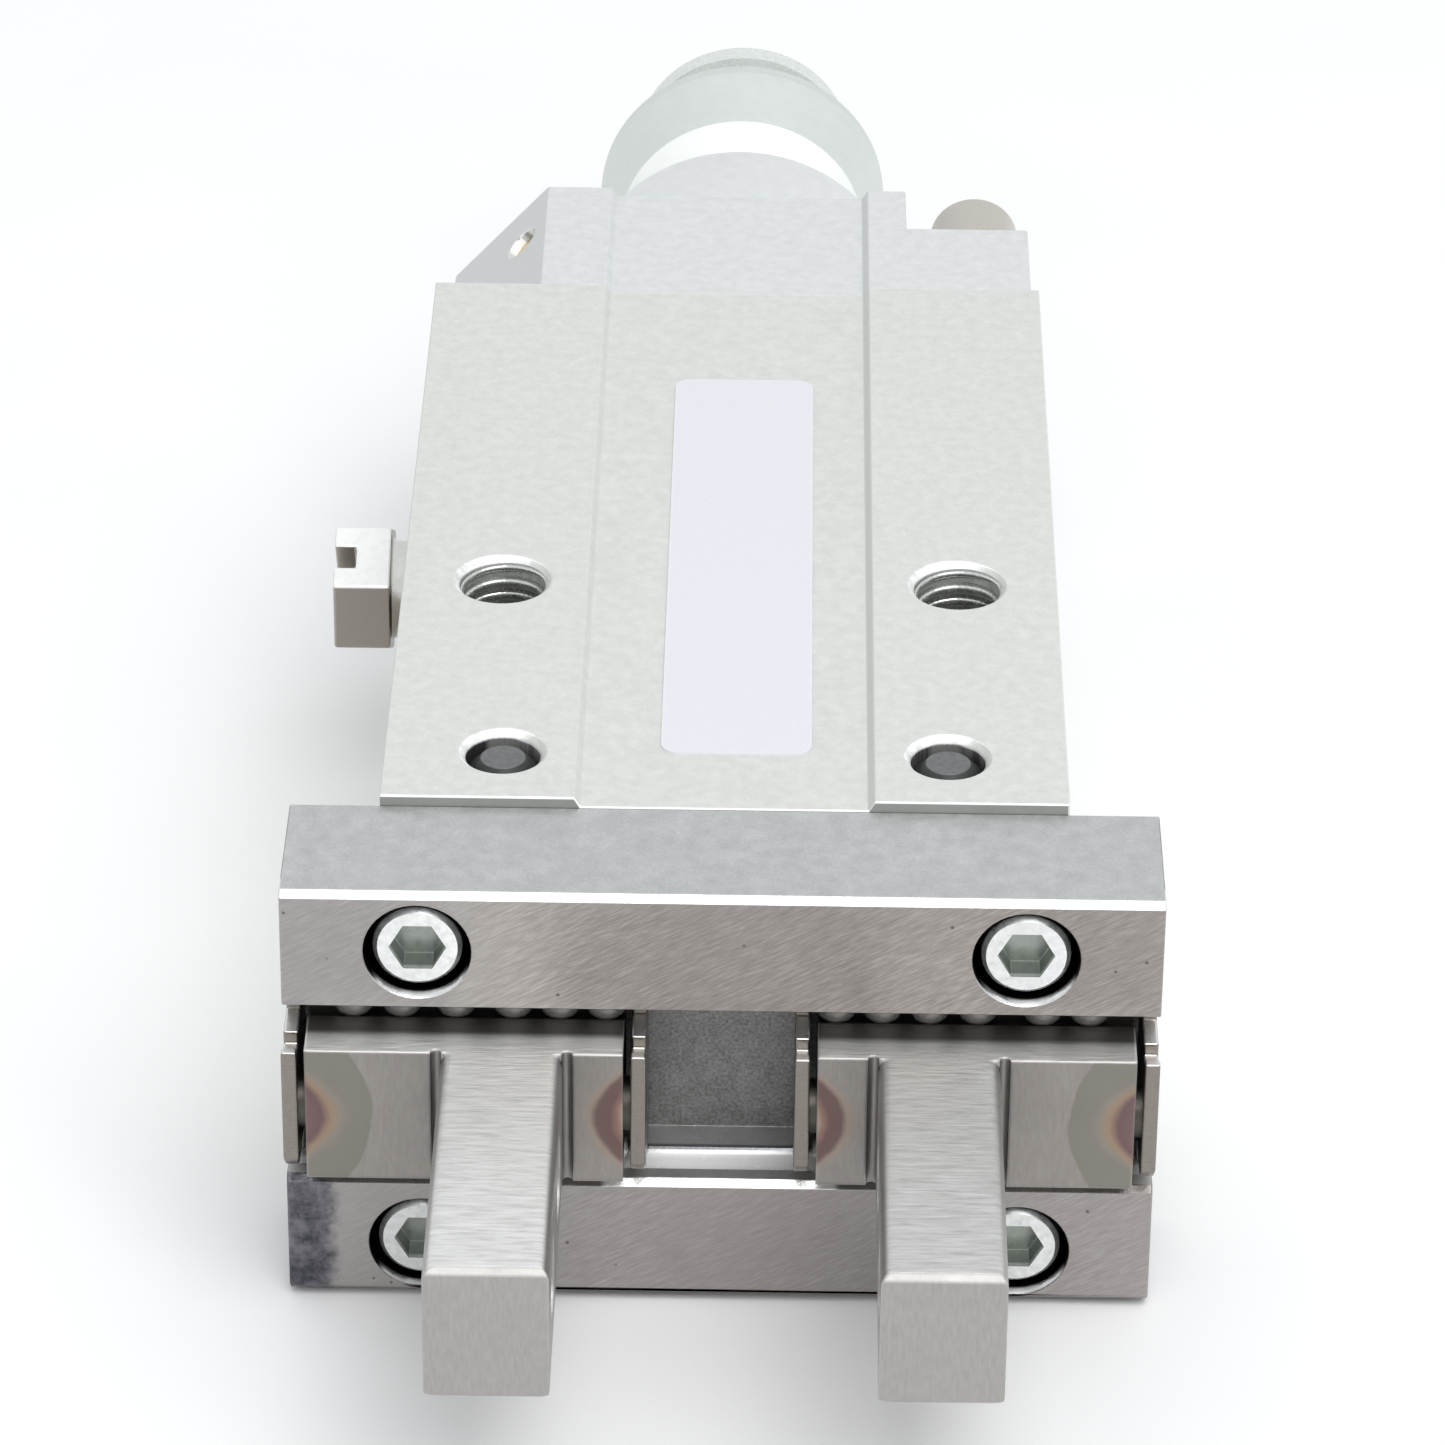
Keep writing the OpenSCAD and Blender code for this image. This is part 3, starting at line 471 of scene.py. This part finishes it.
def finger_steel(name, node):
    """Ground steel: waves across the top, heat tints on the block, painted shade on its ends and by
    its ball race.
    """
    low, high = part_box(node)
    near_x = min(abs(low.x), abs(high.x)) / MM
    far_x = max(abs(low.x), abs(high.x)) / MM
    plates_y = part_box("left_stoppers")[0].y / MM
    pin_low, pin_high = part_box("left_stopper_pins")
    pin_to_race = 0.15
    inset = 0.15  # where the heat tints start, inside either end of the block
    race_y = (pin_low.y + pin_high.y) / 2 / MM + pin_to_race
    shine = 1.0 if node.startswith("left") else 0.8  # the left finger is the brighter one
    g = Graph(name)
    place = g.mapped(1)
    x, y, z = (g.axis(place, letter) for letter in "XYZ")
    up = g.beyond(g.axis(g.normal, "Z"), 0.8, 0.3)
    waves = g.noise(g.mapped((0.45, 3.6, 1)), 1.6, 4, 0.65)
    brushed = g.noise(g.mapped((6, 6, 1.2)), 1.5, 3, 0.6)
    mottle = g.noise(place, 0.9, 3, 0.55)
    greys = [(0.3, tone(214, 214, 211)), (0.5, tone(240, 240, 237)), (0.7, tone(255, 255, 253))]
    ground = g.ramp(waves, [(position, scaled(grey, shine)) for position, grey in greys])
    tip = g.ramp(brushed, [(0.3, tone(160, 157, 154)), (0.7, tone(170, 168, 165))])
    block = g.ramp(brushed, [(0.3, tone(148, 143, 139)), (0.7, tone(158, 153, 149))])
    # Distance from either end of the block; the tints reach less far away from mid height
    height = g.square(g.math("SUBTRACT", z, MID_Z))
    reach = g.size(x)
    wobble = g.both(mottle, 0.3)
    from_far = g.math("ADD", g.math("SUBTRACT", far_x - inset, reach), wobble)
    from_near = g.math("ADD", g.math("SUBTRACT", reach, near_x + inset), wobble)
    block = heat_tints(g, block, from_far, from_near, height)
    # Painted shade: the block's ends, which face sideways into the gaps beside the plates, are painted
    # almost black
    sideways = g.beyond(g.size(g.axis(g.normal, "X")), 0.9, 0.1)
    block = g.mix(sideways, block, tone(24, 23, 23))
    face = g.both(g.beyond(y, plates_y - 0.1, 0.1), g.inverse(up))
    # Painted shade: the top behind race_y, beside the balls, is painted dark
    ground = g.mix(g.beyond(y, race_y, 0.5), ground, tone(92, 89, 86))
    base = g.mix(up, g.mix(face, tip, block), ground)
    g.set("Base Color", g.mix(g.both(g.edges(0.12), 0.45), base, tone(232, 230, 227)))
    g.set("Metallic", 0.76)
    sides = g.ramp(mottle, [(0.3, 0.36), (0.7, 0.46)])
    g.set("Roughness", g.mix(up, sides, g.ramp(waves, [(0.3, 0.44), (0.7, 0.34)])))
    wavy = g.bump(g.both(waves, up), 0.05, 0.5, under=g.rounded(0.16))
    g.set("Normal", g.bump(brushed, 0.004, 0.3, under=wavy))
    return g.material


def zinc_screw(name, node):
    """Zinc-plated screws: bright heads with sockets painted darker as shade in front, plain grey ones
    at the back.
    """
    head_skin = 0.22  # how deep the paler tone of a head's face goes, mm
    low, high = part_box(node)
    g = Graph(name)
    place = g.mapped(1)
    y = g.axis(place, "Y")
    if node == "guide_screws":
        depth = g.math("SUBTRACT", y, low.y / MM)
        pale, socket_shade = tone(238, 240, 239), tone(158, 163, 157)
        metallic, worn, mark_depth, bare = 0.9, 0.12, 0.012, 0.6
    else:
        depth = g.math("SUBTRACT", high.y / MM, y)
        pale, socket_shade = tone(198, 193, 185), tone(194, 189, 181)
        metallic, worn, mark_depth, bare = 0.4, 0.03, 0.001, 0.0
    marks = g.noise(place, 4, 3, 0.6)
    faces = [
        g.ramp(marks, [(0.3, scaled(colour, 1 - worn)), (0.7, scaled(colour, 1 + worn))])
        for colour in (pale, socket_shade)
    ]
    # Painted shade: deeper than head_skin, the socket takes the darker tone
    base = g.mix(g.beyond(depth, head_skin, 0.12), *faces)
    g.set("Base Color", g.mix(g.both(g.edges(0.08), bare), base, tone(250, 251, 250)))
    g.set("Metallic", metallic)
    g.set("Roughness", g.ramp(marks, [(0.3, 0.26), (0.7, 0.4)]))
    g.set("Normal", g.bump(marks, mark_depth, 0.5))
    return g.material


def nickel(name):
    """Nickel plating over a turned plug: facets that look up are painted white as highlights, the
    others painted warm and darker as shade.
    """
    g = Graph(name)
    place = g.mapped(1)
    level = g.axis(g.normal, "Z")
    marks = g.noise(place, 2.6, 3, 0.55)
    # Painted highlight and shade: the tone follows how far up a facet looks
    facet_light_and_shade = [(0.0, tone(157, 150, 142)), (0.2, tone(174, 168, 160)), (0.4, tone(255, 255, 254))]
    base = g.ramp(level, facet_light_and_shade)
    base = g.mix(g.ramp(marks, [(0.4, 0.0), (0.7, 0.12)]), base, tone(160, 150, 138))
    g.set("Base Color", g.mix(g.both(g.edges(0.1), 0.5), base, tone(252, 251, 248)))
    g.set("Metallic", g.ramp(level, [(0.2, 0.95), (0.45, 0.3)]))
    g.set("Roughness", g.ramp(marks, [(0.3, 0.14), (0.7, 0.26)]))
    g.set("Normal", g.bump(marks, 0.008, 0.4))
    return g.material


def bright_metal(
    name, colour, rough, grain=(6, 6, 6), metallic=0.95, depth=0.006, top=None
):
    """Plated or turned metal with faint tool marks and clouds; top is a tone painted on level faces as
    a highlight.
    """
    g = Graph(name)
    marks = g.noise(g.mapped(grain), 1.4, 4, 0.65)
    clouds = g.noise(g.mapped(0.8), 1.0, 3)
    base = g.ramp(marks, [(0.3, scaled(colour, 0.86)), (0.7, scaled(colour, 1.08))])
    base = g.mix(g.both(clouds, 0.3), base, scaled(colour, 0.85))
    base = g.mix(g.both(g.edges(0.06), 0.5), base, scaled(colour, 1.3))
    # Painted highlight: faces that look up take the top tone
    if top:
        base = g.mix(g.beyond(g.axis(g.normal, "Z"), 0.7, 0.2), base, top)
    g.set("Base Color", base)
    g.set("Metallic", metallic)
    g.set("Roughness", g.ramp(marks, [(0.3, rough * 0.85), (0.7, rough * 1.25)]))
    g.set("Normal", g.bump(marks, depth, 0.5))
    return g.material


def pin_steel(name):
    """Dowel pins: a plain grey end inside a chamfer painted black, partly as black oxide and partly as
    shade, radii in millimetres.
    """
    g = Graph(name)
    place = g.mapped(1)
    chamfer_r = 0.76
    rim = g.beyond(distance_from(g, place, *pin_centre()), chamfer_r, 0.05)
    marks = g.noise(place, 5, 3, 0.6)
    plain = g.ramp(marks, [(0.3, tone(116, 117, 118)), (0.7, tone(136, 137, 138))])
    # The chamfer's black is partly black oxide and partly painted shade
    oxide_and_shade = g.ramp(marks, [(0.3, tone(38, 40, 39)), (0.7, tone(54, 56, 55))])
    g.set("Base Color", g.mix(rim, plain, oxide_and_shade))
    g.set("Metallic", g.both(g.inverse(rim), 0.8))
    g.set("Roughness", g.ramp(marks, [(0.3, 0.45), (0.7, 0.6)]))
    g.set("Normal", g.bump(marks, 0.005, 0.4))
    return g.material


def soft_solid(name, colour, rough, pore=7.0, depth=0.02, metallic=0.0):
    """Rubber, plastic, magnet or sintered stuff: a fine grain and cloudy shade."""
    g = Graph(name)
    place = g.mapped(1)
    grain = g.noise(place, pore, 3, 0.6)
    clouds = g.noise(place, 0.7, 2)
    base = g.ramp(grain, [(0.3, scaled(colour, 0.88)), (0.7, scaled(colour, 1.1))])
    g.set("Base Color", g.mix(g.both(clouds, 0.3), base, scaled(colour, 0.85)))
    g.set("Metallic", metallic)
    g.set("Roughness", g.ramp(grain, [(0.3, rough * 0.9), (0.7, rough * 1.1)]))
    g.set("Normal", g.bump(grain, depth, 0.4))
    return g.material


def label_film(name):
    """Satin film of a blank label, with a faint paler frame round its edge."""
    g = Graph(name)
    place = g.mapped(1)
    ripple = g.noise(place, 0.5, 2)
    dust = g.noise(place, 14, 2, 0.7)
    base = g.ramp(dust, [(0.3, tone(214, 216, 221)), (0.7, tone(221, 223, 227))])
    base = g.mix(g.both(g.edges(0.18), 0.6), base, tone(226, 227, 233))
    g.set("Base Color", base)
    g.set("Roughness", g.ramp(ripple, [(0.3, 0.32), (0.7, 0.45)]))
    g.set("Coat Weight", 0.25)
    g.set("Coat Roughness", 0.25)
    g.set("Normal", g.bump(ripple, 0.03, 0.3))
    return g.material


FINISHES = {
    "anodised_body": anodised("anodised_body_finish", tone(226, 227, 222)),
    "anodised_end": anodised("anodised_end_finish", tone(228, 230, 229)),
    "guide_steel": guide_steel("guide_steel_finish"),
    "pin_steel": pin_steel("pin_steel_finish"),
    # The stopper plates, with a painted highlight on their level faces
    "stainless": bright_metal(
        "stainless_finish", tone(144, 138, 131), 0.3, grain=(3, 3, 12), top=tone(244, 243, 241)
    ),
    "ball_steel": bright_metal(
        "ball_steel_finish", tone(232, 230, 226), 0.12, metallic=0.75, depth=0.001
    ),
    "spring_steel": bright_metal(
        "spring_steel_finish", tone(175, 175, 176), 0.3, grain=(14, 3, 14)
    ),
    "nickel": nickel("nickel_finish"),
    "finger_steel": bright_metal("lever_finish", tone(170, 166, 160), 0.35, grain=(3, 3, 9)),
    "brass": bright_metal("brass_finish", tone(214, 196, 140), 0.3),
    "rubber": soft_solid("rubber_finish", tone(34, 34, 35), 0.6),
    "urethane": soft_solid("urethane_finish", tone(196, 172, 118), 0.45),
    "magnet": soft_solid("magnet_finish", tone(78, 72, 68), 0.55),
    "filter": soft_solid("filter_finish", tone(226, 222, 208), 0.8, pore=11, depth=0.06),
    "label_film": label_film("label_film_finish"),
    "release_ring": soft_solid("release_ring_finish", tone(226, 230, 226), 0.42, metallic=0.3),
}


def dress_nodes():
    """Gives every CAD node the finish of its slot, or one of its own."""
    slots = {part["node"]: part["material_slot"] for part in frame["record"]["subparts"]}
    for name, node in nodes.items():
        slot = slots[name]
        if name.endswith("_finger"):
            finish = finger_steel(name + "_finish", name)
        elif slot == "zinc_screw":
            finish = zinc_screw(name + "_finish", name)
        elif name.endswith("_stopper_pins"):
            # Painted shade: the stopper pins sit in the dark gaps between the plates and are painted
            # dark
            finish = bright_metal(name + "_finish", tone(92, 88, 84), 0.4)
        elif name == "fitting_body":
            finish = anodised(name + "_finish", tone(209, 214, 210))
        else:
            finish = FINISHES[slot]
        node.data.materials.clear()
        node.data.materials.append(finish)


def break_edges(name, width):
    """Rounds the sharp edges of a CAD node by width millimetres, once its faces are joined."""
    node = nodes[name]
    weld = node.modifiers.new("Weld", "WELD")
    weld.merge_threshold = 1e-6
    flat = node.modifiers.new("Flat", "DECIMATE")
    flat.decimate_type = "DISSOLVE"
    flat.angle_limit = math.radians(0.3)
    bevel = node.modifiers.new("Edge", "BEVEL")
    bevel.width = width * MM
    bevel.segments = 2
    bevel.limit_method = "ANGLE"
    bevel.angle_limit = math.radians(34)
    bevel.use_clamp_overlap = False
    bevel.harden_normals = True


# ---- Threads ----------------------------------------------------------------


def thread(name, x, z_face, inward, finish):
    """The ridge of an M3 thread in one mounting hole, from one face inwards."""
    pitch, crest, root = 0.5 * MM, 1.24 * MM, THREAD_ROOT * MM
    half_base, mouth, depth = 0.21 * MM, 0.3 * MM, 5.9 * MM
    steps = 40  # in one turn
    turns = int((depth - mouth) / pitch)
    shape = bmesh.new()
    rings = []
    for i in range(steps * turns + 1):
        a = 2 * math.pi * i / steps
        z = z_face + inward * (mouth + pitch * i / steps)
        fade = min(1.0, i / steps, (steps * turns - i) / steps)
        top = root - (root - crest) * fade
        profile = [(root, -half_base), (top, 0), (root, half_base)]
        ring = [(x + r * math.cos(a), r * math.sin(a), z + dz) for r, dz in profile]
        rings.append([shape.verts.new(point) for point in ring])
    for a, b in zip(rings, rings[1:]):
        for k in range(3):
            shape.faces.new([a[k], a[(k + 1) % 3], b[(k + 1) % 3], b[k]])
    shape.faces.new(rings[0])
    shape.faces.new(list(reversed(rings[-1])))
    bmesh.ops.recalc_face_normals(shape, faces=shape.faces)
    for face in shape.faces:
        face.smooth = len(face.verts) == 4
    mesh = bpy.data.meshes.new(name)
    shape.to_mesh(mesh)
    piece = bpy.data.objects.new(name, mesh)
    scene.collection.objects.link(piece)
    mesh.materials.append(finish)
    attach(piece, "housing")


def make_threads():
    """The threads of the two mounting holes, at the label side and at the back."""
    finish = bright_metal("thread_finish", tone(224, 226, 222), 0.24)
    for side, x in (("left", -HOLE_X * MM), ("right", HOLE_X * MM)):
        thread(f"front_thread_{side}", x, body_high.z, -1, finish)
        thread(f"back_thread_{side}", x, body_low.z, 1, finish)


# ---- Making -----------------------------------------------------------------

make_camera()
make_world()
make_light("Key_softbox", place=(0.1, -0.24, 0.42), size=0.34, power=1.3)
make_floor()
dress_nodes()
make_threads()
break_edges("guide_rail", 0.06)
for node_name in ("body", "end_block", "left_stoppers", "right_stoppers"):
    break_edges(node_name, 0.08)
break_edges("exhaust_plug", 0.1)
